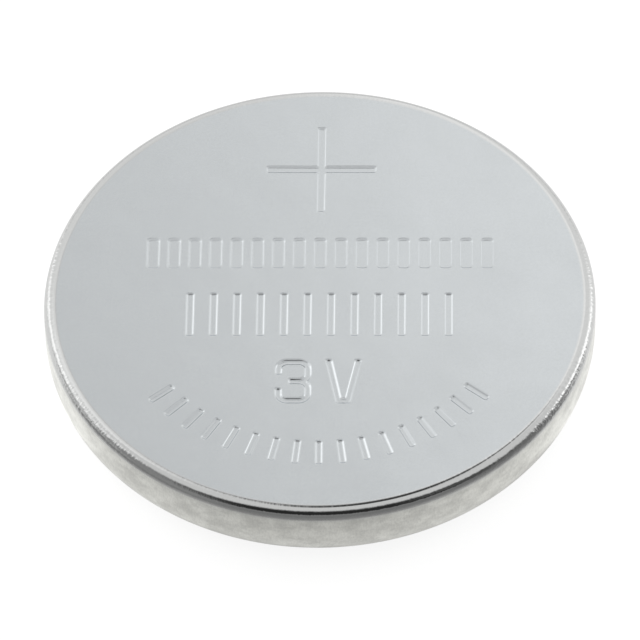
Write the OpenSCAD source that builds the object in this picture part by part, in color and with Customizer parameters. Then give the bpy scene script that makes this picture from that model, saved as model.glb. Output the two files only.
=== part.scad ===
// Lithium coin cell, 20 mm across and 3.2 mm high, lying on its negative cap.
// Each piece is one section turned about the upright axis. A sheet-metal section is a chain
// of flat strips and round bends of one thickness, as the sheet was drawn and crimped.

/* [Cell] */
// Outer diameter of the cell
cell_d = 20; // [18:0.5:24]
// Overall height from the negative face to the positive face
cell_h = 3.2; // [3.1:0.1:4]

/* [Positive can] */
// Thickness of the can's sheet
can_t = 0.25; // [0.2:0.05:0.3]
// Inside radius of the rolled rim round the positive face
rim_bend = 0.15; // [0.1:0.05:0.3]
// Inside radius of the crimp that closes the can over the gasket
crimp_bend = 1.25; // [1.05:0.05:1.4]
// Angle that the crimp turns through, measured from the upright wall
crimp_angle = 65; // [58:1:68]
// Height of the crimped lip above the negative face
lip_rise = 0.43; // [0.35:0.01:0.5]

/* [Negative cap] */
// Thickness of the cap's sheet
cap_t = 0.25; // [0.2:0.05:0.3]
// Inside radius of the cap's bends at both ends of its neck
cap_bend = 0.15; // [0.1:0.05:0.2]
// Inside radius of the bend from the shoulder to the upright flange
flange_bend = 0.15; // [0.1:0.05:0.2]
// Width of the flat on the shoulder, between its two bends
shoulder_flat = 0.1; // [0.05:0.05:0.3]

/* [Sealing gasket] */
// Thickness of the gasket's outer wall, between the cap's flange and the can
gasket_t = 0.35; // [0.3:0.05:0.4]
// Thickness of the gasket where the crimp squeezes it on the shoulder
gasket_pinch = 0.2; // [0.15:0.01:0.25]
// Thickness of the gasket's base, between the flange's edge and the can's floor
gasket_base = 0.35; // [0.25:0.05:0.45]
// Thickness of the gasket's inner lip
gasket_lip_t = 0.25; // [0.2:0.05:0.3]
// Height of the gasket's inner lip beside the flange
gasket_lip_h = 0.55; // [0.3:0.05:0.7]
// Moulded radius of the gasket's outer corner
gasket_corner = 0.35; // [0.3:0.05:0.45]

/* [Electrodes] */
// Thickness of the lithium disc
lithium_t = 0.6; // [0.4:0.05:0.8]
// Room round the lithium disc, inside the cap's neck
lithium_room = 0.5; // [0.4:0.05:0.8]
// Thickness of the separator
separator_t = 0.15; // [0.1:0.01:0.2]
// Room round the separator, inside the cap's neck
separator_room = 0.32; // [0.2:0.02:0.5]
// Height of the separator's turned-up skirt
separator_skirt = 0.7; // [0.4:0.05:0.75]
// Inside radius of the fold at the foot of the separator's skirt
separator_fold = 0.1; // [0.05:0.01:0.1]
// Chamfer on the cathode pellet's pressed edges
pellet_chamfer = 0.12; // [0.1:0.02:0.2]

/* [Collector ring] */
// Thickness of the ring's sheet
ring_t = 0.1; // [0.08:0.01:0.15]
// Width of the ring's flange against the can's floor
ring_flange = 0.75; // [0.5:0.05:1.2]
// Gap between the separator's skirt and the ring's wall
ring_gap = 0.35; // [0.1:0.05:0.6]
// Inside radius of the ring's bend
ring_bend = 0.1; // [0.05:0.01:0.1]

/* [Stamped marks] */
// Depth of the marks in the positive face
mark_depth = 0.05; // [0.03:0.01:0.08]
// Width of the plus sign's lines
plus_line = 0.26; // [0.2:0.02:0.34]
// Length of each arm of the plus sign, end to end
plus_size = 4; // [3:0.5:5]
// Distance from the face's edge to the plus sign
plus_inset = 1.6; // [1:0.1:2]
// Width of the figures' lines
figure_line = 0.2; // [0.16:0.02:0.24]
// Height of the voltage figures
figure_h = 1.96; // [1.6:0.02:2.2]
// Width of each voltage figure
figure_w = 1.26; // [1.1:0.02:1.6]
// Gap between the two voltage figures
figure_gap = 0.54; // [0.3:0.02:0.8]
// Distance from the face's edge to the foot of the figures
figure_inset = 4.66; // [4:0.02:5]
// Outside radius of the 3's round corners
three_bend = 0.42; // [0.3:0.02:0.42]
// Length of the 3's hooked ends, from its top and foot
three_hook = 0.64; // [0.5:0.02:0.7]
// Distance from the 3's left side to its middle bar
three_bar = 0.48; // [0.3:0.02:0.6]
// Width of the V's foot
vee_foot = 0.48; // [0.44:0.02:0.6]

/* [Fit] */
// Clearance where curved faces nest in each other
nest_gap = 0.01; // [0.005:0.005:0.02]
// Clearance round the pellet, inside the separator and the ring
pellet_gap = 0.03; // [0.01:0.01:0.05]

/* [Hidden] */
$fn = 120;

// Outer radii of the bends in the sheets
rim_r = rim_bend + can_t;
crimp_r = crimp_bend + can_t;
cap_r = cap_bend + cap_t;
flange_r = flange_bend + cap_t;
ring_r = ring_bend + ring_t;

// The can, whose floor is the inside of the positive face
can_r = cell_d / 2;
wall_x = can_r - can_t;
floor_z = cell_h - can_t;
face_r = can_r - rim_r;
crimp_x = can_r - crimp_r;
crimp_z = lip_rise + crimp_r * sin(crimp_angle);
lip_x = crimp_x + crimp_bend * cos(crimp_angle);

// The cap's flange stands inside the gasket's wall. The bend below it lies where the crimp
// squeezes the gasket to gasket_pinch, measured between the two arcs.
flange_x = wall_x - gasket_t;
flange_top = floor_z - gasket_base;
flange_bend_x = flange_x - flange_r;
pinch_run = crimp_bend - flange_r - gasket_pinch;
flange_bend_z = crimp_z - sqrt(pow(pinch_run, 2) - pow(flange_bend_x - crimp_x, 2));
shoulder_z = flange_bend_z - flange_r;
neck_bend_x = flange_bend_x - shoulder_flat;
neck_x = neck_bend_x - cap_bend;
neck_inside = neck_x - cap_t;

// The gasket. Its bead fills the mouth between the crimped lip and the neck.
gasket_x = wall_x - nest_gap;
squeeze_r = crimp_bend - nest_gap;
bead_x = (lip_x + neck_x) / 2;
bead_r = (lip_x - neck_x) / 2 - 2 * nest_gap;
bead_z = crimp_z - sqrt(pow(squeeze_r, 2) - pow(bead_x - crimp_x, 2));
gasket_lip_x = flange_x - cap_t - nest_gap - gasket_lip_t;

// The stack of electrodes, from the cap's face up to the can's floor
lithium_r = neck_inside - lithium_room;
lithium_top = cap_t + lithium_t;
pellet_foot = lithium_top + separator_t;
sleeve_x = neck_inside - separator_room - separator_t;
pellet_r = sleeve_x - pellet_gap;
pellet_step = floor_z - ring_t;
ring_edge = sleeve_x + ring_t - ring_flange;
skirt_top = pellet_foot + separator_skirt;

// The marks
plus_y = face_r - plus_inset - plus_size / 2;
figure_y = figure_inset - face_r;

// Straight stretch of a section, from its lowest corner to the opposite one
module strip(x0, z0, x1, z1) {
    translate([x0, z0]) square([x1 - x0, z1 - z0]);
}

// Pie slice of radius r from angle a to angle b
module slice(x, z, r, a, b) {
    reach = 2 * r;
    mid = (a + b) / 2;
    translate([x, z])
        intersection() {
            circle(r = r);
            polygon([
                [0, 0],
                reach * [cos(a), sin(a)],
                reach * [cos(mid), sin(mid)],
                reach * [cos(b), sin(b)]
            ]);
        }
}

// Round bend in a sheet of thickness t, from angle a to angle b about its centre
module bend(x, z, inside, t, a, b) {
    difference() {
        slice(x, z, inside + t, a, b);
        translate([x, z]) circle(r = inside);
    }
}

module can_section() {
    strip(0, floor_z, face_r, cell_h);
    bend(face_r, cell_h - rim_r, rim_bend, can_t, 0, 90);
    strip(wall_x, crimp_z, can_r, cell_h - rim_r);
    bend(crimp_x, crimp_z, crimp_bend, can_t, -crimp_angle, 0);
}

module cap_section() {
    strip(0, 0, neck_x - cap_r, cap_t);
    bend(neck_x - cap_r, cap_r, cap_bend, cap_t, -90, 0);
    strip(neck_inside, cap_r, neck_x, shoulder_z - cap_bend);
    bend(neck_bend_x, shoulder_z - cap_bend, cap_bend, cap_t, 90, 180);
    strip(neck_bend_x, shoulder_z, flange_bend_x, shoulder_z + cap_t);
    bend(flange_bend_x, flange_bend_z, flange_bend, cap_t, -90, 0);
    strip(flange_x - cap_t, flange_bend_z, flange_x, flange_top);
}

// What the cap takes out of the gasket, with its clearance
module cap_room() {
    strip(0, 0, neck_x + nest_gap, shoulder_z);
    difference() {
        strip(0, shoulder_z - cap_bend, neck_bend_x, shoulder_z);
        translate([neck_bend_x, shoulder_z - cap_bend]) circle(r = cap_bend - nest_gap);
    }
    strip(0, shoulder_z - nest_gap, flange_bend_x, flange_bend_z);
    slice(flange_bend_x, flange_bend_z, flange_r + nest_gap, -90, 0);
    strip(0, flange_bend_z, flange_x + nest_gap, flange_top);
}

module gasket_section() {
    difference() {
        union() {
            difference() {
                strip(flange_bend_x, crimp_z, gasket_x, floor_z);
                corner_cut(gasket_x, floor_z, gasket_corner);
            }
            intersection() {
                translate([crimp_x, crimp_z]) circle(r = squeeze_r);
                strip(neck_x, 0, can_r, crimp_z);
            }
            translate([bead_x, bead_z]) circle(r = bead_r);
        }
        cap_room();
    }
    gasket_lip_section();
}

// What rounding the outer top corner at x, z to radius r takes off
module corner_cut(x, z, r) {
    difference() {
        strip(x - r, z - r, x + r, z + r);
        translate([x - r, z - r]) circle(r = r);
    }
}

// Inner lip of the gasket, with a full round at its free end
module gasket_lip_section() {
    round_r = gasket_lip_t / 2;
    foot = flange_top - gasket_lip_h;
    strip(gasket_lip_x, foot + round_r, gasket_lip_x + gasket_lip_t, flange_top);
    strip(gasket_lip_x, flange_top, flange_x, floor_z);
    slice(gasket_lip_x + round_r, foot + round_r, round_r, 180, 360);
}

module separator_section() {
    fold_x = sleeve_x - separator_fold;
    fold_z = pellet_foot + separator_fold;
    strip(0, lithium_top, fold_x, pellet_foot);
    bend(fold_x, fold_z, separator_fold, separator_t, -90, 0);
    strip(sleeve_x, fold_z, sleeve_x + separator_t, skirt_top);
}

module pellet_section() {
    step_x = ring_edge - pellet_gap;
    polygon([
        [0, pellet_foot], [pellet_r - pellet_chamfer, pellet_foot],
        [pellet_r, pellet_foot + pellet_chamfer], [pellet_r, pellet_step - pellet_chamfer],
        [pellet_r - pellet_chamfer, pellet_step], [step_x, pellet_step],
        [step_x, floor_z], [0, floor_z]
    ]);
}

module ring_section() {
    bend_x = sleeve_x - ring_bend;
    strip(ring_edge, pellet_step, bend_x, floor_z);
    bend(bend_x, floor_z - ring_r, ring_bend, ring_t, 0, 90);
    strip(sleeve_x, skirt_top + ring_gap, sleeve_x + ring_t, floor_z - ring_r);
}

// Polarity sign near the rim
module plus_mark() {
    translate([0, plus_y]) {
        square([plus_size, plus_line], center = true);
        square([plus_line, plus_size], center = true);
    }
}

// Upper half of a plain 3: hook, top bar, bowl and the middle bar that both halves share
module three_half() {
    inside = three_bend - figure_line;
    far_x = figure_w - three_bend;
    upper_y = figure_h - three_bend;
    lower_y = (figure_h - figure_line) / 2 + three_bend;
    strip(0, figure_h - three_hook, figure_line, upper_y);
    bend(three_bend, upper_y, inside, figure_line, 90, 180);
    strip(three_bend, figure_h - figure_line, far_x, figure_h);
    bend(far_x, upper_y, inside, figure_line, 0, 90);
    strip(figure_w - figure_line, lower_y, figure_w, upper_y);
    bend(far_x, lower_y, inside, figure_line, -90, 0);
    strip(three_bar, (figure_h - figure_line) / 2, far_x, (figure_h + figure_line) / 2);
}

module figure_three() {
    three_half();
    translate([0, figure_h]) mirror([0, 1]) three_half();
}

// Plain V with a flat foot and a flat fork
module figure_vee() {
    lean = (figure_w - vee_foot) / 2;
    fork = figure_line + lean * (1 - figure_line / figure_h);
    polygon([
        [0, figure_h], [figure_line, figure_h], [fork, figure_line],
        [figure_w - fork, figure_line], [figure_w - figure_line, figure_h],
        [figure_w, figure_h], [figure_w - lean, 0], [lean, 0]
    ]);
}

module voltage_mark() {
    translate([-figure_gap / 2 - figure_w, figure_y]) figure_three();
    translate([figure_gap / 2, figure_y]) figure_vee();
}

module positive_can() {
    color([0.78, 0.8, 0.81])
        difference() {
            rotate_extrude() can_section();
            translate([0, 0, cell_h - mark_depth])
                linear_extrude(2 * mark_depth) {
                    plus_mark();
                    voltage_mark();
                }
        }
}

module negative_cap() {
    color([0.74, 0.75, 0.75]) rotate_extrude() cap_section();
}

module sealing_gasket() {
    color([0.25, 0.26, 0.28]) rotate_extrude() gasket_section();
}

module lithium_disc() {
    color([0.62, 0.63, 0.66]) rotate_extrude() strip(0, cap_t, lithium_r, lithium_top);
}

module separator() {
    color([0.95, 0.95, 0.93]) rotate_extrude() separator_section();
}

module cathode_pellet() {
    color([0.12, 0.12, 0.13]) rotate_extrude() pellet_section();
}

module collector_ring() {
    color([0.66, 0.67, 0.68]) rotate_extrude() ring_section();
}

positive_can();
negative_cap();
sealing_gasket();
lithium_disc();
separator();
cathode_pellet();
collector_ring();
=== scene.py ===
import math

import bmesh
import bpy
from mathutils import Matrix, Vector


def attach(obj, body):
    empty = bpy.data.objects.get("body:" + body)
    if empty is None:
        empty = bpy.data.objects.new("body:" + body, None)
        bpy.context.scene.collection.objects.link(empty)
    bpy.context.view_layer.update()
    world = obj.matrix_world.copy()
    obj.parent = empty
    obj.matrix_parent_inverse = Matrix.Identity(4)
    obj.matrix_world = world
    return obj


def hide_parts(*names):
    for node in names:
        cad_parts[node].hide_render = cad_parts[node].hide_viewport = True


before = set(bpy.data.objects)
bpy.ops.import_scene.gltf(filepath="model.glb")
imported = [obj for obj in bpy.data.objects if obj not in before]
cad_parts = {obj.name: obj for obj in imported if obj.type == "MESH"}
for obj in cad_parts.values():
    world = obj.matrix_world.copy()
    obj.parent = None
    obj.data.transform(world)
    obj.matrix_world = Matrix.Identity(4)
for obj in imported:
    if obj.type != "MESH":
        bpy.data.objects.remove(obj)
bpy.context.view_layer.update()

scene = bpy.context.scene
scene.view_settings.view_transform = "Standard"
MM = 0.001


# Camera. It looks down at the cell from about 51 degrees above the table, a quarter of a metre
# away through a long lens, and stands 1.8 degrees round from the plus sign's upright line.
CAMERA_ELEVATION = math.radians(50.85)
CAMERA_TURN = math.radians(1.8)
CAMERA_ROLL = math.radians(1.4)
CAMERA_DISTANCE = 250 * MM
CAMERA_TARGET = Vector((-0.005, 0.17, 1.6)) * MM
CAMERA_LENS = 386.3
CAMERA_NEAR = 10 * MM
CAMERA_FAR = 5000 * MM
SENSOR_WIDTH = 36


def place_camera():
    turn = Matrix.Rotation(CAMERA_TURN, 3, "Z")
    right = turn @ Vector((1, 0, 0))
    back = turn @ Vector((0, -math.cos(CAMERA_ELEVATION), math.sin(CAMERA_ELEVATION)))
    up = back.cross(right)
    side = right * math.cos(CAMERA_ROLL) - up * math.sin(CAMERA_ROLL)
    top = right * math.sin(CAMERA_ROLL) + up * math.cos(CAMERA_ROLL)
    camera = bpy.data.objects.new("camera", bpy.data.cameras.new("camera"))
    scene.collection.objects.link(camera)
    rotation = Matrix((side, top, back)).transposed().to_4x4()
    place = turn @ CAMERA_TARGET + back * CAMERA_DISTANCE
    camera.matrix_world = Matrix.Translation(place) @ rotation
    camera.data.sensor_width = SENSOR_WIDTH
    camera.data.lens = CAMERA_LENS
    camera.data.clip_start = CAMERA_NEAR
    camera.data.clip_end = CAMERA_FAR
    scene.camera = camera


place_camera()


# Light. A white tent stands round the table, drawn in the world by direction. A black flag hangs
# over the camera with a grey drape below it, and the cell's rolled edge mirrors both.
TENT_LEVEL = 0.8
ALL_ACROSS = (-91, -90.5, 90.5, 91)
FROM_LEFT = (-91, -90.5)
TO_RIGHT = (90.5, 91)
# Each panel has its start, full start, full end and end in degrees, first along the arc from the
# front horizon over the top to the back one, then from the left side to the right, and its level.
TENT_PANELS = {
    "back wall": ((112, 122, 205, 225), ALL_ACROSS, 0.93),
    "back foot": ((168, 174, 184, 192), (-46, -32, 32, 46), 0.62),
    "left glow": ((106, 112, 125, 138), (-42, -34, -18, -5), 1.12),
    "left shade": ((104, 118, 129, 140), (-7, -4, -3, 0), 0.74),
    "left box": ((108, 126, 144, 156), (-66, -56, -45, -37), 1.5),
    "upper left box": ((142, 154, 176, 186), (-56, -50, -45, -37), 1.42),
    "lower left box": ((80, 92, 104, 116), (-68, -58, -46, -36), 1.1),
    "right box": ((130, 144, 172, 182), (34, 40, 50, 56), 1.12),
    "drape": ((-75, -45, 60, 76), ALL_ACROSS, 0.29),
    "left drape": ((-75, -45, 66, 91), (*FROM_LEFT, -46, -24), 0.31),
    "low drape": ((-75, -45, 14, 30), (-50, -20, 40, 60), 0.23),
    "right drape": ((-95, -60, 84, 97), (38, 60, *TO_RIGHT), 0.2),
    "left end": ((-85, -55, 70, 90), (*FROM_LEFT, -80, -64), 0.5),
    "left post": ((105, 116, 152, 166), (*FROM_LEFT, -69, -64), 0.46),
    "right post": ((92, 104, 160, 176), (65, 70, *TO_RIGHT), 0.3),
    "right strip": ((100, 112, 178, 186), (46, 52, 60, 66), 1.6),
    "flag": ((24, 33, 54, 70), (-52, -20, 38, 66), 0.03),
    "right flag": ((34, 44, 58, 75), (18, 36, 42, 66), 0.1),
    "seam": ((104, 109, 120, 130), (-6, 0, 4, 12), 0.06),
    "right glow": ((123, 126, 150, 170), (-5, 4, 6, 12), 1.12),
}


def add(tree, kind, inputs=(), **settings):
    """Adds a node. Its inputs are given by name or number, each with a value or a socket."""
    made = tree.nodes.new(kind)
    for key, value in settings.items():
        setattr(made, key, value)
    for key, value in dict(inputs).items():
        if isinstance(value, bpy.types.NodeSocket):
            tree.links.new(value, made.inputs[key])
        else:
            made.inputs[key].default_value = value
    return made


def work_out(tree, operation, *values):
    return add(tree, "ShaderNodeMath", enumerate(values), operation=operation).outputs[0]


def smooth_step(tree, value, low, high, start=0.0, end=1.0):
    """Goes from start to end while the value goes from low to high."""
    return add(
        tree, "ShaderNodeMapRange", {0: value, 1: low, 2: high, 3: start, 4: end},
        interpolation_type="SMOOTHSTEP",
    ).outputs[0]


def blend(tree, factor, first, second, mode="MIX"):
    """Mixes two colours, or multiplies the first by the second as far as the factor says."""
    return add(
        tree, "ShaderNodeMix", {0: factor, 6: first, 7: second}, data_type="RGBA", blend_type=mode
    ).outputs[2]


def split(tree, place):
    return add(tree, "ShaderNodeSeparateXYZ", {0: place}).outputs


def grey(level):
    return (level, level, level, 1)


def window(tree, value, start, full_start, full_end, end):
    rise = smooth_step(tree, value, start, full_start)
    fall = smooth_step(tree, value, full_end, end, 1.0, 0.0)
    return work_out(tree, "MULTIPLY", rise, fall)


def light_tent():
    world = bpy.data.worlds.new("tent")
    scene.world = world
    world.use_nodes = True
    tree = world.node_tree
    tree.nodes.clear()
    x, y, z = split(tree, add(tree, "ShaderNodeTexCoord").outputs["Generated"])
    along = work_out(tree, "ARCTAN2", z, work_out(tree, "MULTIPLY", y, -1.0))
    along = work_out(tree, "DEGREES", along)
    across = work_out(tree, "DEGREES", work_out(tree, "ARCSINE", x))
    level = grey(TENT_LEVEL)
    for reach, width, brightness in TENT_PANELS.values():
        panel = work_out(
            tree, "MULTIPLY", window(tree, along, *reach), window(tree, across, *width)
        )
        level = blend(tree, panel, level, grey(brightness))
    tent = add(tree, "ShaderNodeBackground", {"Color": level, "Strength": 1.0})
    white = add(tree, "ShaderNodeBackground", {"Color": grey(1), "Strength": 1.0})
    seen = add(tree, "ShaderNodeLightPath").outputs["Is Camera Ray"]
    mixed = add(tree, "ShaderNodeMixShader", {0: seen, 1: tent.outputs[0], 2: white.outputs[0]})
    add(tree, "ShaderNodeOutputWorld", {0: mixed.outputs[0]})


light_tent()


# Table. A white matt sheet under the cell, which keeps the cell's soft shadow. For reflected rays it
# glows with painted light and painted shade: the metal mirrors its front half as painted shade,
# which stands in for the paper under the drape. It is clear from below, where the cell's underside
# shows through it.
CELL_RADIUS = 10 * MM
TABLE_RADIUS = 400 * MM
TABLE_SIDES = 96
TABLE_DROP = 0.002 * MM
TABLE_PAPER = grey(0.35)
TABLE_LIFT = 0.86

# What the metal mirrors, painted as light that only reflected rays see. The paper close to the cell
# is painted bright, more so on the right, and painted darker in front of the cell over a run that is
# longer at the sides.
NEAR_LEFT = 1.02
NEAR_RIGHT = 1.14
NEAR_TURN = 8 * MM
FAR_FRONT = 0.26
SHADE_RUN = 2 * MM
SHADE_SPREAD = 0.7
# It is painted bright behind a line through the cell's middle, which bends back beside the cell.
BEHIND = 0.95
LINE_BEND = (CELL_RADIUS, 2.6 * CELL_RADIUS)
LINE_LEFT = 0.45 * CELL_RADIUS
LINE_RIGHT = 0.8 * CELL_RADIUS
# Under the cell's edge it has painted shade, less at the left, and painted brightness at the
# outermost sides.
SHADED_LEFT = 0.8
SHADED_RIGHT = 0.5
SHADED_TURN = (-9 * MM, -2 * MM)
SHADED_REACH = (0.9 * CELL_RADIUS, 1.18 * CELL_RADIUS)
GLOW = 0.9
GLOW_SIDES = (8.8 * MM, 9.6 * MM)


def mix(tree, factor, first, second):
    return add(tree, "ShaderNodeMix", {0: factor, 2: first, 3: second}).outputs[0]


def length(tree, place):
    return add(tree, "ShaderNodeVectorMath", {0: place}, operation="LENGTH").outputs["Value"]


def painted_mirror_light(tree, place):
    """Painted brightness of the table as the metal mirrors it, with its painted shade."""
    x, y, _ = split(tree, place)
    sideways = work_out(tree, "ABSOLUTE", x)
    reach = length(tree, place)
    spread = work_out(tree, "POWER", work_out(tree, "DIVIDE", sideways, CELL_RADIUS), 2)
    spread = work_out(tree, "MINIMUM", spread, 1.0)
    run = work_out(tree, "MULTIPLY_ADD", spread, SHADE_SPREAD * SHADE_RUN, SHADE_RUN)
    inside = work_out(tree, "SUBTRACT", CELL_RADIUS, reach)
    fade = work_out(tree, "EXPONENT", work_out(tree, "DIVIDE", inside, run))
    fade = work_out(tree, "MINIMUM", fade, 1.0)
    near = smooth_step(tree, x, -NEAR_TURN, NEAR_TURN, NEAR_LEFT, NEAR_RIGHT)
    front = mix(tree, fade, FAR_FRONT, near)

    start, end = LINE_BEND
    left = smooth_step(tree, x, -end, -start, -LINE_LEFT, 0.0)
    right = smooth_step(tree, x, start, end, 0.0, -LINE_RIGHT)
    line = work_out(tree, "ADD", y, work_out(tree, "ADD", left, right))
    behind = smooth_step(tree, line, -CELL_RADIUS, 0)
    paper = mix(tree, behind, front, BEHIND)

    foot = smooth_step(tree, x, *SHADED_TURN, SHADED_LEFT, SHADED_RIGHT)
    glow = smooth_step(tree, sideways, *GLOW_SIDES, 0.0, GLOW)
    foot = work_out(tree, "ADD", foot, glow)
    shaded = smooth_step(tree, reach, *SHADED_REACH, foot, 1.0)
    return work_out(tree, "MULTIPLY", paper, shaded)


def table_paper():
    material = bpy.data.materials.new("table_paper")
    material.use_nodes = True
    tree = material.node_tree
    tree.nodes.clear()
    surface = add(tree, "ShaderNodeNewGeometry").outputs
    path = add(tree, "ShaderNodeLightPath").outputs
    paper = add(tree, "ShaderNodeBsdfDiffuse", {"Color": TABLE_PAPER})
    strength = work_out(tree, "MULTIPLY", path["Is Camera Ray"], TABLE_LIFT)
    lift = add(tree, "ShaderNodeEmission", {"Color": grey(1), "Strength": strength})
    seen = add(tree, "ShaderNodeAddShader", {0: paper.outputs[0], 1: lift.outputs[0]})
    # Painted light and painted shade that only reflected rays see.
    mirrored = painted_mirror_light(tree, surface["Position"])
    painted_shine = add(tree, "ShaderNodeEmission", {"Color": grey(1), "Strength": mirrored})
    both = add(
        tree, "ShaderNodeMixShader",
        {0: path["Is Glossy Ray"], 1: seen.outputs[0], 2: painted_shine.outputs[0]},
    )
    clear = add(tree, "ShaderNodeBsdfTransparent")
    one_sided = add(
        tree, "ShaderNodeMixShader",
        {0: surface["Backfacing"], 1: both.outputs[0], 2: clear.outputs[0]},
    )
    add(tree, "ShaderNodeOutputMaterial", {0: one_sided.outputs[0]})
    return material


def lay_table():
    mesh = bpy.data.meshes.new("table")
    turns = [math.tau * i / TABLE_SIDES for i in range(TABLE_SIDES)]
    ring = [
        (TABLE_RADIUS * math.cos(turn), TABLE_RADIUS * math.sin(turn), -TABLE_DROP)
        for turn in turns
    ]
    mesh.from_pydata(ring, [], [range(TABLE_SIDES)])
    table = bpy.data.objects.new("table", mesh)
    scene.collection.objects.link(table)
    mesh.materials.append(table_paper())


lay_table()


# Positive can. Nickel-plated steel sheet drawn to a cup in one piece. Its floor is the face that
# carries the stamped marks, and its mouth is crimped inwards over the gasket.
CELL_HEIGHT = 3.2 * MM
CAN_SHEET = 0.25 * MM
RIM_BEND = 0.15 * MM
RIM_EASE = 0.9 * MM
RIM_EASE_ANGLE = 5
CRIMP_BEND = 1.25 * MM
CRIMP_ANGLE = math.radians(65)
LIP_RISE = 0.43 * MM
TURN_SEGMENTS = 288
BEND_STEPS = 24
EASE_STEPS = 6
WELD = 0.0002 * MM
LEVEL_NORMAL = 0.99999

RIM_RADIUS = RIM_BEND + CAN_SHEET
FACE_RADIUS = CELL_RADIUS - RIM_RADIUS
CRIMP_RADIUS = CRIMP_BEND + CAN_SHEET
CRIMP_X = CELL_RADIUS - CRIMP_RADIUS
CRIMP_Z = LIP_RISE + CRIMP_RADIUS * math.sin(CRIMP_ANGLE)
EASE_RUN = RIM_EASE * math.sin(math.radians(RIM_EASE_ANGLE))
EASE_DROP = RIM_EASE * (1 - math.cos(math.radians(RIM_EASE_ANGLE)))
LEVEL_RADIUS = (
    CELL_RADIUS - RIM_RADIUS * (1 - math.sin(math.radians(RIM_EASE_ANGLE))) - EASE_RUN
)


def vector(tree, x=0.0, y=0.0, z=0.0):
    return add(tree, "ShaderNodeCombineXYZ", {0: x, 1: y, 2: z}).outputs[0]


def shape_tree(name, inputs):
    """Empty geometry tree with a geometry input and output, and the named inputs given."""
    tree = bpy.data.node_groups.new(name, "GeometryNodeTree")
    sockets = tree.interface
    sockets.new_socket("Geometry", in_out="INPUT", socket_type="NodeSocketGeometry")
    for label, kind in inputs.items():
        sockets.new_socket(label, in_out="INPUT", socket_type="NodeSocket" + kind)
    sockets.new_socket("Geometry", in_out="OUTPUT", socket_type="NodeSocketGeometry")
    return tree, add(tree, "NodeGroupInput").outputs


def circle(tree, radius, segments):
    return add(
        tree, "GeometryNodeCurvePrimitiveCircle", {"Resolution": segments, "Radius": radius}
    ).outputs[0]


def upright_sweep(tree, path, profile):
    """Sweeps a profile along a flat path, with the profile's y pointing down."""
    upright = add(tree, "GeometryNodeSetCurveNormal", {"Curve": path}, mode="Z_UP").outputs[0]
    return add(
        tree, "GeometryNodeCurveToMesh", {"Curve": upright, "Profile Curve": profile}
    ).outputs[0]


def edges_with(tree, faces):
    """Picks out the edges that have the given number of faces."""
    sides = add(tree, "GeometryNodeInputMeshEdgeNeighbors").outputs[0]
    return add(
        tree, "FunctionNodeCompare", {2: sides, 3: faces}, data_type="INT", operation="EQUAL"
    ).outputs[0]


def finish_tree(tree, geometry, material):
    """Welds the parts of a mesh, makes it smooth apart from its level faces, and paints it."""
    welded = add(
        tree, "GeometryNodeMergeByDistance", {"Geometry": geometry, "Distance": WELD}
    ).outputs[0]
    clean = add(
        tree, "GeometryNodeDeleteGeometry", {0: welded, 1: edges_with(tree, 0)}, domain="EDGE"
    ).outputs[0]
    whole = add(tree, "GeometryNodeRealizeInstances", {0: clean}).outputs[0]
    tilt = split(tree, add(tree, "GeometryNodeInputNormal").outputs[0])["Z"]
    curved = work_out(tree, "LESS_THAN", work_out(tree, "ABSOLUTE", tilt), LEVEL_NORMAL)
    smooth = add(
        tree, "GeometryNodeSetShadeSmooth", {"Geometry": whole, "Shade Smooth": curved}
    ).outputs[0]
    painted = add(
        tree, "GeometryNodeSetMaterial", {"Geometry": smooth, "Material": material}
    ).outputs[0]
    add(tree, "NodeGroupOutput", {0: painted})


def turned_tree():
    """Turns a section, drawn with x as radius and y as height, about the upright axis."""
    tree, given = shape_tree(
        "turned section", {"Turning radius": "Float", "Segments": "Int", "Finish": "Material"}
    )
    inward = work_out(tree, "MULTIPLY", given["Turning radius"], -1.0)
    placed = add(
        tree, "GeometryNodeTransform",
        {
            "Geometry": given["Geometry"], "Translation": vector(tree, inward),
            "Scale": (1, -1, 1),
        },
    ).outputs[0]
    section = add(tree, "GeometryNodeMeshToCurve", {"Mesh": placed}).outputs[0]
    path = circle(tree, given["Turning radius"], given["Segments"])
    finish_tree(tree, upright_sweep(tree, path, section), given["Finish"])
    return tree


def slope_profile(tree, width, depth, steps):
    """Soft profile of a mark's wall, from the sheet at the outside to the mark's floor."""
    half = work_out(tree, "MULTIPLY", width, 0.5)
    third = work_out(tree, "DIVIDE", half, 3.0)
    inner_half = work_out(tree, "MULTIPLY", half, -1.0)
    inner_third = work_out(tree, "MULTIPLY", third, -1.0)
    return add(
        tree, "GeometryNodeCurvePrimitiveBezierSegment",
        {
            "Resolution": steps,
            "Start": vector(tree, half), "Start Handle": vector(tree, third),
            "End Handle": vector(tree, inner_third, depth), "End": vector(tree, inner_half, depth),
        },
        mode="POSITION",
    ).outputs[0]


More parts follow.
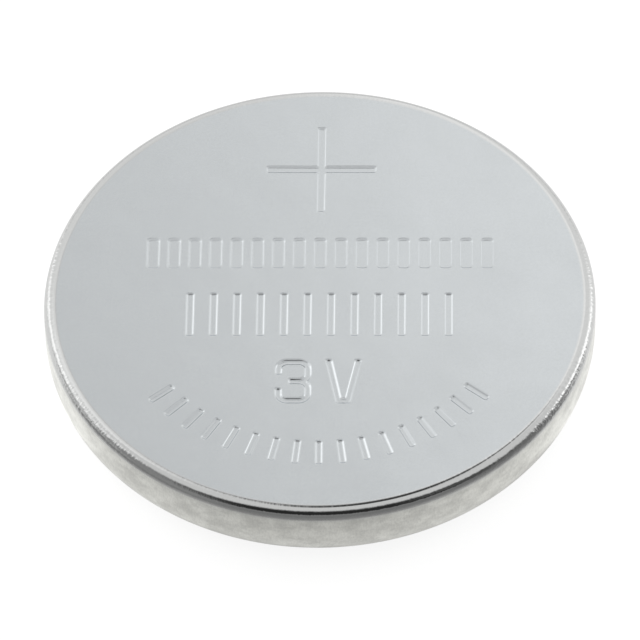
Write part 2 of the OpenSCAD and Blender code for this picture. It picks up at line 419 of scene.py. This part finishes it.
def stamped_tree():
    """Round level face with marks pressed into it. Its input holds the marks' outlines, which run
    anticlockwise. A sloped wall follows each outline, and the sheet and the marks' floors are
    filled in between the walls' edges. The marks behind a line are made fainter."""
    tree, given = shape_tree(
        "stamped face",
        {
            "Face radius": "Float", "Face height": "Float", "Segments": "Int",
            "Mark depth": "Float", "Slope width": "Float", "Slope steps": "Int",
            "Faint from": "Float", "Faint share": "Float", "Finish": "Material",
        },
    )
    depth = given["Mark depth"]
    slope = slope_profile(tree, given["Slope width"], depth, given["Slope steps"])
    outlines = add(tree, "GeometryNodeMeshToCurve", {"Mesh": given["Geometry"]}).outputs[0]
    walls = upright_sweep(tree, outlines, slope)

    x, y, z = split(tree, add(tree, "GeometryNodeInputPosition").outputs[0])
    upper = work_out(tree, "GREATER_THAN", z, work_out(tree, "MULTIPLY", depth, -0.5))
    lower = work_out(tree, "SUBTRACT", 1.0, upper)
    border = edges_with(tree, 1)
    brink, foot = [
        add(
            tree, "GeometryNodeMeshToCurve",
            {"Mesh": walls, "Selection": work_out(tree, "MULTIPLY", border, level)},
        ).outputs[0]
        for level in (upper, lower)
    ]
    edges = add(tree, "GeometryNodeJoinGeometry")
    for edge in (circle(tree, given["Face radius"], given["Segments"]), brink):
        tree.links.new(edge, edges.inputs[0])
    sheet = add(tree, "GeometryNodeFillCurve", {"Curve": edges.outputs[0]}).outputs[0]
    down = vector(tree, z=work_out(tree, "MULTIPLY", depth, -1.0))
    floors = add(tree, "GeometryNodeFillCurve", {"Curve": foot}).outputs[0]
    floors = add(
        tree, "GeometryNodeTransform", {"Geometry": floors, "Translation": down}
    ).outputs[0]

    parts = add(tree, "GeometryNodeJoinGeometry")
    for part in (walls, sheet, floors):
        tree.links.new(part, parts.inputs[0])
    eased = add(
        tree, "GeometryNodeSetPosition",
        {
            "Geometry": parts.outputs[0],
            "Selection": work_out(tree, "GREATER_THAN", y, given["Faint from"]),
            "Position": vector(
                tree, x, y, work_out(tree, "MULTIPLY", z, given["Faint share"])
            ),
        },
    ).outputs[0]
    lifted = add(
        tree, "GeometryNodeTransform",
        {"Geometry": eased, "Translation": vector(tree, z=given["Face height"])},
    ).outputs[0]
    finish_tree(tree, lifted, given["Finish"])
    return tree


TURNED = turned_tree()
STAMPED = stamped_tree()


def settle(name, points, edges, tree, inputs):
    """Runs a geometry tree on a wire drawing and gives its result as a plain mesh."""
    wire = bpy.data.meshes.new(name)
    wire.from_pydata(points, edges, [])
    holder = bpy.data.objects.new(name, wire)
    scene.collection.objects.link(holder)
    modifier = holder.modifiers.new("shape", "NODES")
    modifier.node_group = tree
    for socket in tree.interface.items_tree:
        if socket.in_out == "INPUT" and socket.name in inputs:
            modifier[socket.identifier] = inputs[socket.name]
    bpy.context.view_layer.update()
    graph = bpy.context.evaluated_depsgraph_get()
    made = bpy.data.meshes.new_from_object(holder.evaluated_get(graph))
    bpy.data.objects.remove(holder)
    bpy.data.meshes.remove(wire)
    return made


def turned(name, section, finish, closed=True):
    count = len(section)
    edges = [(i, (i + 1) % count) for i in range(count if closed else count - 1)]
    return settle(
        name, [(r, z, 0) for r, z in section], edges, TURNED,
        {"Turning radius": CELL_RADIUS, "Segments": TURN_SEGMENTS, "Finish": finish},
    )


def assemble(name, node, slot, finish, *meshes):
    """Joins meshes into one closed piece with its faces outwards, in place of its CAD node."""
    form = bmesh.new()
    for mesh in meshes:
        form.from_mesh(mesh)
    bmesh.ops.remove_doubles(form, verts=form.verts, dist=WELD)
    bmesh.ops.recalc_face_normals(form, faces=form.faces)
    if form.calc_volume(signed=True) < 0:
        bmesh.ops.reverse_faces(form, faces=form.faces)
    for face in form.faces:
        face.material_index = 0
    joined = bpy.data.meshes.new(name)
    form.to_mesh(joined)
    form.free()
    joined.materials.append(finish)
    piece = bpy.data.objects.new(name, joined)
    scene.collection.objects.link(piece)
    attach(piece, "root")
    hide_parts(node)
    return piece


def arc(x, y, radius, start, end, steps):
    """Points along a round bend, from one angle to the other in degrees."""
    turns = [math.radians(start + (end - start) * i / steps) for i in range(steps + 1)]
    return [(x + radius * math.cos(turn), y + radius * math.sin(turn)) for turn in turns]


def can_section():
    """Open section from the edge of the level face round to the inside of the can's floor. The
    face runs into the rolled rim through a short bend of larger radius."""
    turn = math.degrees(CRIMP_ANGLE)
    rim_z = CELL_HEIGHT - RIM_RADIUS
    start = 90 - RIM_EASE_ANGLE
    outer_z = CELL_HEIGHT - EASE_DROP - RIM_RADIUS * math.sin(math.radians(start))
    return (
        arc(LEVEL_RADIUS, CELL_HEIGHT - RIM_EASE, RIM_EASE, 90, start, EASE_STEPS)
        + arc(FACE_RADIUS, outer_z, RIM_RADIUS, start, 0, BEND_STEPS)[1:]
        + arc(CRIMP_X, CRIMP_Z, CRIMP_RADIUS, 0, -turn, BEND_STEPS)
        + arc(CRIMP_X, CRIMP_Z, CRIMP_BEND, -turn, 0, BEND_STEPS)
        + arc(FACE_RADIUS, rim_z, RIM_BEND, 0, 90, BEND_STEPS // 2)
        + [(0, CELL_HEIGHT - CAN_SHEET)]
    )


# The marks' depth, their walls, and the line behind which they are fainter.
MARK_DEPTH = 0.05 * MM
MARK_SLOPE = 0.11 * MM
SLOPE_STEPS = 8
FAINT_FROM = 1 * MM
FAINT_SHARE = 0.82
# How far from each corner the points beside it lie, and the shortest stretch that takes them.
CORNER_HOLD = 0.07 * MM
SHORTEST_HELD = 2.5 * CORNER_HOLD

PLUS_LINE = 0.26 * MM
PLUS_SIZE = 4 * MM
PLUS_INSET = 1.6 * MM
FIGURE_LINE = 0.2 * MM
FIGURE_HEIGHT = 1.96 * MM
FIGURE_WIDTH = 1.26 * MM
FIGURE_GAP = 0.54 * MM
FIGURE_INSET = 4.66 * MM
THREE_BEND = 0.42 * MM
THREE_HOOK = 0.64 * MM
THREE_BAR = 0.48 * MM
WAIST_STEPS = 6
OUTER_STEPS = 16
INNER_STEPS = 10
VEE_FOOT = 0.48 * MM

BACK_BARS = 17
BACK_BAR = (0.42 * MM, 1.35 * MM)
BACK_BAR_CORNER = 0.12 * MM
BACK_BAR_PITCH = 0.76 * MM
BACK_BAR_Y = 2 * MM
MIDDLE_BARS = 12
MIDDLE_BAR = (0.24 * MM, 1.93 * MM)
MIDDLE_BAR_PITCH = 0.85 * MM
MIDDLE_BAR_Y = -0.87 * MM
TICKS = 17
TICK = (0.2 * MM, 1 * MM)
TICK_RING = 7.2 * MM
TICKS_FROM = math.radians(-141)
TICKS_TURN = math.radians(103)
BAR_CORNER = 0.06 * MM
BAR_CORNER_STEPS = 6


def hold(corner, other):
    """Point a short way from a corner towards another, where the stretch between them is long."""
    run = math.dist(corner, other)
    if run < SHORTEST_HELD:
        return []
    share = CORNER_HOLD / run
    x, y = corner
    return [(x + (other[0] - x) * share, y + (other[1] - y) * share)]


def held(outline):
    """Adds points beside the corners, so that a long wall is shaded straight up to its ends."""
    points = []
    for i, corner in enumerate(outline):
        after = outline[(i + 1) % len(outline)]
        points += hold(corner, outline[i - 1]) + [corner] + hold(corner, after)
    return points


def plus_outline():
    middle = FACE_RADIUS - PLUS_INSET - PLUS_SIZE / 2
    a, b = PLUS_LINE / 2, PLUS_SIZE / 2
    arm = [(a, a), (a, b), (-a, b)]
    points = []
    for quarter in range(4):
        points += [(x, y + middle) for x, y in arm]
        arm = [(-y, x) for x, y in arm]
    return points


def three_outline():
    """Plain 3, drawn as its upper half and mirrored about its middle line."""
    top = FIGURE_HEIGHT
    inside = THREE_BEND - FIGURE_LINE
    far_x = FIGURE_WIDTH - THREE_BEND
    upper_y = top - THREE_BEND
    lower_y = (top - FIGURE_LINE) / 2 + THREE_BEND
    waist = math.degrees(math.asin(1 - FIGURE_LINE / 2 / THREE_BEND))
    upper = arc(far_x, lower_y, THREE_BEND, -waist, 0, WAIST_STEPS)
    upper += arc(far_x, upper_y, THREE_BEND, 0, 90, OUTER_STEPS)
    upper += arc(THREE_BEND, upper_y, THREE_BEND, 90, 180, OUTER_STEPS)
    upper += [(0, top - THREE_HOOK), (FIGURE_LINE, top - THREE_HOOK)]
    upper += arc(THREE_BEND, upper_y, inside, 180, 90, INNER_STEPS)
    upper += arc(far_x, upper_y, inside, 90, 0, INNER_STEPS)
    upper += arc(far_x, lower_y, inside, 0, -90, INNER_STEPS)
    upper += [(THREE_BAR, (top + FIGURE_LINE) / 2)]
    lower = [(x, top - y) for x, y in reversed(upper[1:])]
    return upper + lower


def vee_outline():
    lean = (FIGURE_WIDTH - VEE_FOOT) / 2
    line = FIGURE_LINE
    fork = line + lean * (1 - line / FIGURE_HEIGHT)
    return [
        (line, FIGURE_HEIGHT), (0, FIGURE_HEIGHT), (lean, 0), (FIGURE_WIDTH - lean, 0),
        (FIGURE_WIDTH, FIGURE_HEIGHT), (FIGURE_WIDTH - line, FIGURE_HEIGHT),
        (FIGURE_WIDTH - fork, line), (fork, line),
    ]


def moved(outline, x, y):
    return [(px + x, py + y) for px, py in outline]


def bar_outline(size, x, y, turn=0, corner=BAR_CORNER):
    """Upright bar with round corners, turned about its middle and placed at x, y."""
    a, b = size[0] / 2 - corner, size[1] / 2 - corner
    points = (
        arc(a, b, corner, 0, 90, BAR_CORNER_STEPS)
        + arc(-a, b, corner, 90, 180, BAR_CORNER_STEPS)
        + arc(-a, -b, corner, 180, 270, BAR_CORNER_STEPS)
        + arc(a, -b, corner, 270, 360, BAR_CORNER_STEPS)
    )
    c, s = math.cos(turn), math.sin(turn)
    return [(px * c - py * s + x, px * s + py * c + y) for px, py in points]


def plain_marks():
    """Plain bars and ticks in three rows, which stand for nothing."""
    marks = []
    for i in range(BACK_BARS):
        x = (i - (BACK_BARS - 1) / 2) * BACK_BAR_PITCH
        marks.append(bar_outline(BACK_BAR, x, BACK_BAR_Y, corner=BACK_BAR_CORNER))
    for i in range(MIDDLE_BARS):
        x = (i - (MIDDLE_BARS - 1) / 2) * MIDDLE_BAR_PITCH
        marks.append(bar_outline(MIDDLE_BAR, x, MIDDLE_BAR_Y))
    for i in range(TICKS):
        turn = TICKS_FROM + TICKS_TURN * i / (TICKS - 1)
        x, y = TICK_RING * math.cos(turn), TICK_RING * math.sin(turn)
        marks.append(bar_outline(TICK, x, y, turn - math.pi / 2))
    return marks


def can_piece(finish):
    foot = FIGURE_INSET - FACE_RADIUS
    marks = [
        plus_outline(),
        moved(three_outline(), -FIGURE_GAP / 2 - FIGURE_WIDTH, foot),
        moved(vee_outline(), FIGURE_GAP / 2, foot),
    ] + plain_marks()
    points, edges = [], []
    for outline in map(held, marks):
        start, count = len(points), len(outline)
        edges += [(start + i, start + (i + 1) % count) for i in range(count)]
        points += [(x, y, 0) for x, y in outline]
    face = settle(
        "face", points, edges, STAMPED,
        {
            "Face radius": LEVEL_RADIUS, "Face height": CELL_HEIGHT, "Segments": TURN_SEGMENTS,
            "Mark depth": MARK_DEPTH, "Slope width": MARK_SLOPE, "Slope steps": SLOPE_STEPS,
            "Faint from": FAINT_FROM, "Faint share": FAINT_SHARE, "Finish": finish,
        },
    )
    shell = turned("shell", can_section(), finish, closed=False)
    return assemble("can", "positive_can", "can_steel", finish, face, shell)


# The plate's finish. Each zone is given by where it begins and where it is full, in heights above
# the table or distances from the middle.
FACE_COLOUR = (0.632, 0.658, 0.672, 1)
RIM_COLOUR = (0.65, 0.655, 0.65, 1)
# The wall's colour is the plate's own, painted lighter and warmer than the face's: a painted
# reflection of the bright table that the wall mirrors.
WALL_COLOUR_AND_PAINTED_SHEEN = (0.79, 0.79, 0.745, 1)
FACE_ROUGHNESS = 0.15
RIM_ROUGHNESS = 0.07
WALL_ROUGHNESS = 0.34
ROUGHNESS_DRIFT = 0.015
RIM_ZONE = (9.5 * MM, 9.6 * MM)
WALL_ZONE = (2.96 * MM, 2.7 * MM)
MATT_ZONE = (3.04 * MM, 2.75 * MM)
CHIP_ZONE = (9.66 * MM, 9.76 * MM)
CHIP_RISE = (2.8 * MM, 2.95 * MM)
CHIP_SIDES = (5 * MM, 8.5 * MM)
CHIP_FRONT = 0.3

SCORE_SIZE = 0.11 * MM
WEAR_SIZE = 0.5 * MM
CHIP_SIZE = 0.15 * MM
MOTTLE_SIZE = 0.55 * MM
FINE_SIZE = 0.06 * MM
CLOUD_SIZE = 3 * MM
SCORE_HEIGHT = 0.0022 * MM
WEAR_HEIGHT = 0.004 * MM
CHIP_HEIGHT = 0.025 * MM
CLOUD_HEIGHT = 0.008 * MM
# Tones that multiply the colour: the wall's mottle, its fine grain, and the face's grain.
MOTTLE_TONES = (0.86, 1.09)
WALL_GRAIN_TONES = (0.93, 1.06)
FACE_GRAIN_TONES = (0.975, 1.02)
# The values of a noise, which go from 0 to 1, at which a tone starts and ends.
MIDDLE_VALUES = (0.3, 0.7)
MOTTLE_VALUES = (0.32, 0.68)
FINE_VALUES = (0.25, 0.75)


def new_material(name):
    material = bpy.data.materials.new(name)
    material.use_nodes = True
    tree = material.node_tree
    place = add(tree, "ShaderNodeTexCoord").outputs["Object"]
    return material, tree, tree.nodes["Principled BSDF"], place


def grain(tree, place, size, stretch=(1, 1, 1), detail=3.0, roughness=0.5):
    """Noise whose grains are about size metres across, drawn out by stretch."""
    scaled = add(
        tree, "ShaderNodeMapping", {"Vector": place, "Scale": [1 / (size * s) for s in stretch]}
    ).outputs[0]
    return add(
        tree, "ShaderNodeTexNoise",
        {"Vector": scaled, "Scale": 1.0, "Detail": detail, "Roughness": roughness},
    ).outputs["Fac"]


def tint(tree, colour, tone):
    """Multiplies a colour by a tone."""
    return blend(tree, 1.0, colour, vector(tree, tone, tone, tone), "MULTIPLY")


def bump(tree, height, depth, strength=1.0, under=None):
    """Normal of a surface raised by a noise, on top of an earlier bump where one is given."""
    inputs = {"Height": height, "Strength": strength, "Distance": depth}
    if under is not None:
        inputs["Normal"] = under
    return add(tree, "ShaderNodeBump", inputs).outputs[0]


def polish(tree, shader, colour, roughness, normal, metallic=0.0):
    tree.links.new(colour, shader.inputs["Base Color"])
    tree.links.new(normal, shader.inputs["Normal"])
    if isinstance(roughness, bpy.types.NodeSocket):
        tree.links.new(roughness, shader.inputs["Roughness"])
    else:
        shader.inputs["Roughness"].default_value = roughness
    shader.inputs["Metallic"].default_value = metallic


def nickel_plate():
    """Plate that is satin on the face, bright and finely scored on the rim, and dull on the wall,
    whose colour is painted lighter and warmer than the face's as a painted reflection of the bright
    table.
    """
    material, tree, shader, place = new_material("nickel_plate")
    x, y, z = split(tree, place)
    flat = vector(tree, x, y)
    radius = length(tree, flat)
    rim = smooth_step(tree, radius, *RIM_ZONE)
    wall = smooth_step(tree, z, *WALL_ZONE)
    matt = smooth_step(tree, z, *MATT_ZONE)
    outward = add(tree, "ShaderNodeVectorMath", {0: flat}, operation="NORMALIZE").outputs[0]
    ring = add(
        tree, "ShaderNodeVectorMath", {0: outward, 3: CELL_RADIUS}, operation="SCALE"
    ).outputs[0]
    edge = add(
        tree, "ShaderNodeVectorMath", {0: ring, 1: vector(tree, z=z)}, operation="ADD"
    ).outputs[0]
    score = grain(tree, edge, SCORE_SIZE, stretch=(1, 1, 10), detail=3.0, roughness=0.6)
    wear = grain(tree, edge, WEAR_SIZE, stretch=(1, 1, 2), detail=2.0)
    chips = grain(tree, edge, CHIP_SIZE, detail=2.0, roughness=0.6)
    mottle = grain(tree, place, MOTTLE_SIZE, stretch=(1.6, 1.6, 1), detail=4.0, roughness=0.65)
    fine = grain(tree, place, FINE_SIZE, stretch=(1, 1, 2.5), detail=2.0, roughness=0.6)
    cloud = grain(tree, place, CLOUD_SIZE, detail=2.0)

    colour = blend(tree, rim, FACE_COLOUR, RIM_COLOUR)
    # Painted reflection: the wall zone takes the lighter, warmer colour.
    colour = blend(tree, wall, colour, WALL_COLOUR_AND_PAINTED_SHEEN)
    wall_tone = work_out(
        tree, "MULTIPLY", smooth_step(tree, mottle, *MOTTLE_VALUES, *MOTTLE_TONES),
        smooth_step(tree, fine, *FINE_VALUES, *WALL_GRAIN_TONES),
    )
    face_tone = smooth_step(tree, fine, *FINE_VALUES, *FACE_GRAIN_TONES)
    colour = tint(tree, colour, mix(tree, wall, face_tone, wall_tone))

    rough = mix(tree, rim, FACE_ROUGHNESS, RIM_ROUGHNESS)
    rough = mix(tree, matt, rough, WALL_ROUGHNESS)
    drift = smooth_step(tree, cloud, *MIDDLE_VALUES, -ROUGHNESS_DRIFT, ROUGHNESS_DRIFT)
    rough = work_out(tree, "ADD", rough, drift)

    chipped = work_out(
        tree, "MULTIPLY", smooth_step(tree, radius, *CHIP_ZONE), smooth_step(tree, z, *CHIP_RISE)
    )
    sides = smooth_step(tree, work_out(tree, "ABSOLUTE", x), *CHIP_SIDES, CHIP_FRONT, 1.0)
    chipped = work_out(tree, "MULTIPLY", chipped, sides)
    normal = bump(tree, score, SCORE_HEIGHT, work_out(tree, "MAXIMUM", rim, wall))
    normal = bump(tree, wear, WEAR_HEIGHT, rim, normal)
    normal = bump(tree, chips, CHIP_HEIGHT, chipped, normal)
    normal = bump(tree, cloud, CLOUD_HEIGHT, 1.0, normal)
    polish(tree, shader, colour, rough, normal, metallic=1.0)
    return material


can = can_piece(nickel_plate())


# Negative cap. Stainless steel sheet drawn to a stepped dish: the flat face the cell lies on, a
# neck, a shoulder under the crimp and an upright flange that stands inside the gasket.
CAP_SHEET = 0.25 * MM
CAP_BEND = 0.15 * MM
CAP_FACE_RADIUS = 8.35 * MM
NECK_RADIUS = 8.75 * MM
SHOULDER_HEIGHT = 0.9742 * MM
FLANGE_RADIUS = 9.4 * MM
FLANGE_TOP = 2.6 * MM
SMALL_BEND_STEPS = BEND_STEPS // 2
CAP_COLOUR = (0.6, 0.6, 0.585, 1)
CAP_TONES = (0.94, 1.03)
CAP_ROUGHNESS = (0.27, 0.36)
RING_SIZE = 0.12 * MM
SATIN_SIZE = 0.09 * MM
CAP_CLOUD_SIZE = 2.5 * MM
SATIN_HEIGHT = 0.004 * MM
RING_HEIGHT = 0.004 * MM


def cap_section():
    inside, outside = CAP_BEND, CAP_BEND + CAP_SHEET
    neck_x = NECK_RADIUS + CAP_BEND
    flange_x = FLANGE_RADIUS - outside
    neck_z = SHOULDER_HEIGHT - inside
    flange_z = SHOULDER_HEIGHT + outside
    steps = SMALL_BEND_STEPS
    return (
        [(0, 0)]
        + arc(CAP_FACE_RADIUS, outside, outside, -90, 0, steps)
        + arc(neck_x, neck_z, inside, 180, 90, steps)
        + arc(flange_x, flange_z, outside, -90, 0, steps)
        + [(FLANGE_RADIUS, FLANGE_TOP), (FLANGE_RADIUS - CAP_SHEET, FLANGE_TOP)]
        + arc(flange_x, flange_z, inside, 0, -90, steps)
        + arc(neck_x, neck_z, outside, 90, 180, steps)
        + arc(CAP_FACE_RADIUS, outside, inside, 0, -90, steps)
        + [(0, CAP_SHEET)]
    )


def satin_steel():
    """Drawn sheet with a fine satin grain and a faint ring pattern from the drawing die."""
    material, tree, shader, place = new_material("satin_steel")
    x, y, _ = split(tree, place)
    rings = work_out(tree, "DIVIDE", length(tree, vector(tree, x, y)), RING_SIZE)
    ring = add(
        tree, "ShaderNodeTexNoise", {"W": rings, "Scale": 1.0, "Detail": 2.0},
        noise_dimensions="1D",
    ).outputs["Fac"]
    satin = grain(tree, place, SATIN_SIZE, roughness=0.6)
    cloud = grain(tree, place, CAP_CLOUD_SIZE)
    colour = tint(tree, CAP_COLOUR, smooth_step(tree, cloud, *MIDDLE_VALUES, *CAP_TONES))
    rough = smooth_step(tree, satin, *MIDDLE_VALUES, *CAP_ROUGHNESS)
    normal = bump(tree, satin, SATIN_HEIGHT)
    normal = bump(tree, ring, RING_HEIGHT, under=normal)
    polish(tree, shader, colour, rough, normal, metallic=1.0)
    return material


def cap_piece(finish):
    mesh = turned("cap", cap_section(), finish)
    return assemble("cap", "negative_cap", "cap_steel", finish, mesh)


cap = cap_piece(satin_steel())


# Sealing gasket. Polypropylene moulded to a ring of J section. The crimp squeezes it against the
# cap's shoulder, where it shows from below as a narrow bead between the lip and the neck.
GASKET_RADIUS = 9.74 * MM
GASKET_TOP = 2.95 * MM
GASKET_CORNER = 0.35 * MM
GASKET_LIP_SHEET = 0.25 * MM
GASKET_LIP_X = 8.89 * MM
GASKET_LIP_FOOT = 2.05 * MM
GASKET_SQUEEZE = 1.24 * MM
BEAD_X = 8.889 * MM
BEAD_Z = 0.612 * MM
BEAD_RADIUS = 0.119 * MM
NEST_GAP = 0.01 * MM
NECK_SIDE_STEPS = 2
GASKET_COLOUR = (0.2, 0.21, 0.22, 1)
GASKET_TONES = (0.88, 1.08)
GASKET_ROUGHNESS = (0.42, 0.56)
MOULD_SIZE = 0.05 * MM
FLOW_SIZE = 1.2 * MM
MOULD_HEIGHT = 0.002 * MM


def crimp_point(angle):
    """Point on the gasket's outer side, where it follows the crimp's bend."""
    turn = math.radians(angle)
    return (
        CRIMP_X + GASKET_SQUEEZE * math.cos(turn), CRIMP_Z + GASKET_SQUEEZE * math.sin(turn)
    )


def bead_angle(point):
    return math.degrees(math.atan2(point[1] - BEAD_Z, point[0] - BEAD_X))


def gasket_section():
    """The inner side follows the cap at a small gap, and the outer one follows the can."""
    outside = CAP_BEND + CAP_SHEET
    flange_x = FLANGE_RADIUS - outside
    flange_z = SHOULDER_HEIGHT + outside
    neck_x = NECK_RADIUS + CAP_BEND
    neck_z = SHOULDER_HEIGHT - CAP_BEND
    lip = GASKET_LIP_SHEET / 2
    reach = math.acos(1 - BEAD_RADIUS ** 2 / GASKET_SQUEEZE ** 2 / 2)
    middle = math.degrees(math.atan2(BEAD_Z - CRIMP_Z, BEAD_X - CRIMP_X))
    first = middle - math.degrees(reach)
    last = middle + math.degrees(reach)
    neck_side = NECK_RADIUS + NEST_GAP
    start = -math.degrees(math.acos((neck_side - CRIMP_X) / GASKET_SQUEEZE))
    rise = (first - start) / NECK_SIDE_STEPS
    bead = [bead_angle(crimp_point(angle)) for angle in (first, last)]
    top = GASKET_TOP - GASKET_CORNER
    steps = SMALL_BEND_STEPS
    return (
        [(neck_side, neck_z)]
        + [crimp_point(start + rise * i) for i in range(NECK_SIDE_STEPS)]
        + arc(BEAD_X, BEAD_Z, BEAD_RADIUS, *bead, steps)
        + [crimp_point(last * (1 - i / BEND_STEPS)) for i in range(1, BEND_STEPS + 1)]
        + arc(GASKET_RADIUS - GASKET_CORNER, top, GASKET_CORNER, 0, 90, steps)
        + [(GASKET_LIP_X, GASKET_TOP)]
        + arc(GASKET_LIP_X + lip, GASKET_LIP_FOOT + lip, lip, 180, 360, steps)
        + [(GASKET_LIP_X + 2 * lip, FLANGE_TOP), (FLANGE_RADIUS + NEST_GAP, FLANGE_TOP)]
        + arc(flange_x, flange_z, outside + NEST_GAP, 0, -90, steps)
        + arc(neck_x, neck_z, CAP_BEND - NEST_GAP, 90, 180, steps)[:-1]
    )


def moulded_plastic():
    """Slightly glossy plastic with a fine mould grain and faint flow marks."""
    material, tree, shader, place = new_material("moulded_plastic")
    fine = grain(tree, place, MOULD_SIZE, detail=2.0)
    flow = grain(tree, place, FLOW_SIZE, stretch=(1, 1, 0.4))
    colour = tint(tree, GASKET_COLOUR, smooth_step(tree, flow, *MIDDLE_VALUES, *GASKET_TONES))
    rough = smooth_step(tree, fine, *MIDDLE_VALUES, *GASKET_ROUGHNESS)
    polish(tree, shader, colour, rough, bump(tree, fine, MOULD_HEIGHT))
    return material


def gasket_piece(finish):
    mesh = turned("gasket", gasket_section(), finish)
    return assemble("gasket", "sealing_gasket", "gasket_plastic", finish, mesh)


gasket = gasket_piece(moulded_plastic())


# Lithium disc. Soft grey foil, punched to a round and pressed against the inside of the cap. It
# keeps the lines of the rolls and dark stains from the air.
FOIL_COLOUR = (0.6, 0.61, 0.64, 1)
STAIN_COLOUR = (0.4, 0.4, 0.42, 1)
STAIN_VALUES = (0.42, 0.66)
FOIL_ROUGHNESS = (0.34, 0.6)
DULLED_VALUES = (0.35, 0.7)
FOIL_METALLIC = 0.9
ROLL_SIZE = 0.15 * MM
ROLL_HEIGHT = 0.003 * MM
STAIN_SIZE = 1.8 * MM


def lithium_foil():
    material, tree, shader, place = new_material("lithium_foil")
    rolled = grain(tree, place, ROLL_SIZE, stretch=(1, 14, 14), roughness=0.6)
    stain = grain(tree, place, STAIN_SIZE, detail=4.0, roughness=0.6)
    colour = blend(tree, smooth_step(tree, stain, *STAIN_VALUES), FOIL_COLOUR, STAIN_COLOUR)
    rough = smooth_step(tree, stain, *DULLED_VALUES, *FOIL_ROUGHNESS)
    normal = bump(tree, rolled, ROLL_HEIGHT)
    polish(tree, shader, colour, rough, normal, metallic=FOIL_METALLIC)
    return material


def paint(node, material):
    """Gives a kept CAD node its finish."""
    for slot in bpy.data.objects[node].material_slots:
        slot.material = material


paint("lithium_disc", lithium_foil())


# Separator. White non-woven polypropylene fleece, pressed to a shallow cup between the
# electrodes. Its fibres lie both ways.
THIN_FLEECE = (0.76, 0.76, 0.73, 1)
THICK_FLEECE = (0.92, 0.92, 0.9, 1)
THICK_VALUES = (0.15, 0.4)
FLEECE_ROUGHNESS = 0.9
FIBRE_SIZE = 0.035 * MM
FIBRE_HEIGHT = 0.012 * MM
FELT_SIZE = 0.5 * MM


def fleece():
    material, tree, shader, place = new_material("fleece")
    along = grain(tree, place, FIBRE_SIZE, stretch=(1, 9, 3), detail=2.0)
    across = grain(tree, place, FIBRE_SIZE, stretch=(9, 1, 3), detail=2.0)
    fibres = work_out(tree, "MAXIMUM", along, across)
    felt = grain(tree, place, FELT_SIZE, roughness=0.6)
    thick = smooth_step(tree, work_out(tree, "MULTIPLY", fibres, felt), *THICK_VALUES)
    colour = blend(tree, thick, THIN_FLEECE, THICK_FLEECE)
    polish(tree, shader, colour, FLEECE_ROUGHNESS, bump(tree, fibres, FIBRE_HEIGHT))
    return material


paint("separator", fleece())


# Cathode pellet. Manganese dioxide and graphite powder, pressed to a black round block with a
# step for the collector ring.
PELLET_DARK = (0.045, 0.045, 0.048, 1)
PELLET_GREY = (0.1, 0.1, 0.105, 1)
POWDER_VALUES = (0.4, 0.7)
SPOT_VALUES = (0.35, 0.65)
PELLET_ROUGHNESS = (0.5, 0.75)
POWDER_SIZE = 0.06 * MM
POWDER_HEIGHT = 0.01 * MM
SPOT_SIZE = 0.7 * MM


def pressed_powder():
    material, tree, shader, place = new_material("pressed_powder")
    powder = grain(tree, place, POWDER_SIZE, detail=4.0, roughness=0.7)
    spot = grain(tree, place, SPOT_SIZE, roughness=0.6)
    colour = blend(tree, smooth_step(tree, powder, *POWDER_VALUES), PELLET_DARK, PELLET_GREY)
    rough = smooth_step(tree, spot, *SPOT_VALUES, *PELLET_ROUGHNESS)
    polish(tree, shader, colour, rough, bump(tree, powder, POWDER_HEIGHT))
    return material


paint("cathode_pellet", pressed_powder())


# Collector ring. Thin stainless sheet drawn to an L section, pressed round the pellet. Fine lines
# from the drawing die run up its wall.
RING_DARK = (0.6, 0.61, 0.62, 1)
RING_LIGHT = (0.7, 0.7, 0.7, 1)
RING_ROUGHNESS = (0.22, 0.34)
DRAWN_SIZE = 0.06 * MM
DRAWN_HEIGHT = 0.002 * MM
RING_CLOUD_SIZE = 1.5 * MM


def ring_steel():
    material, tree, shader, place = new_material("ring_steel")
    drawn = grain(tree, place, DRAWN_SIZE, stretch=(1, 1, 14), roughness=0.6)
    cloud = grain(tree, place, RING_CLOUD_SIZE, detail=2.0)
    colour = blend(tree, cloud, RING_DARK, RING_LIGHT)
    rough = smooth_step(tree, drawn, *MIDDLE_VALUES, *RING_ROUGHNESS)
    polish(tree, shader, colour, rough, bump(tree, drawn, DRAWN_HEIGHT), metallic=1.0)
    return material


paint("collector_ring", ring_steel())
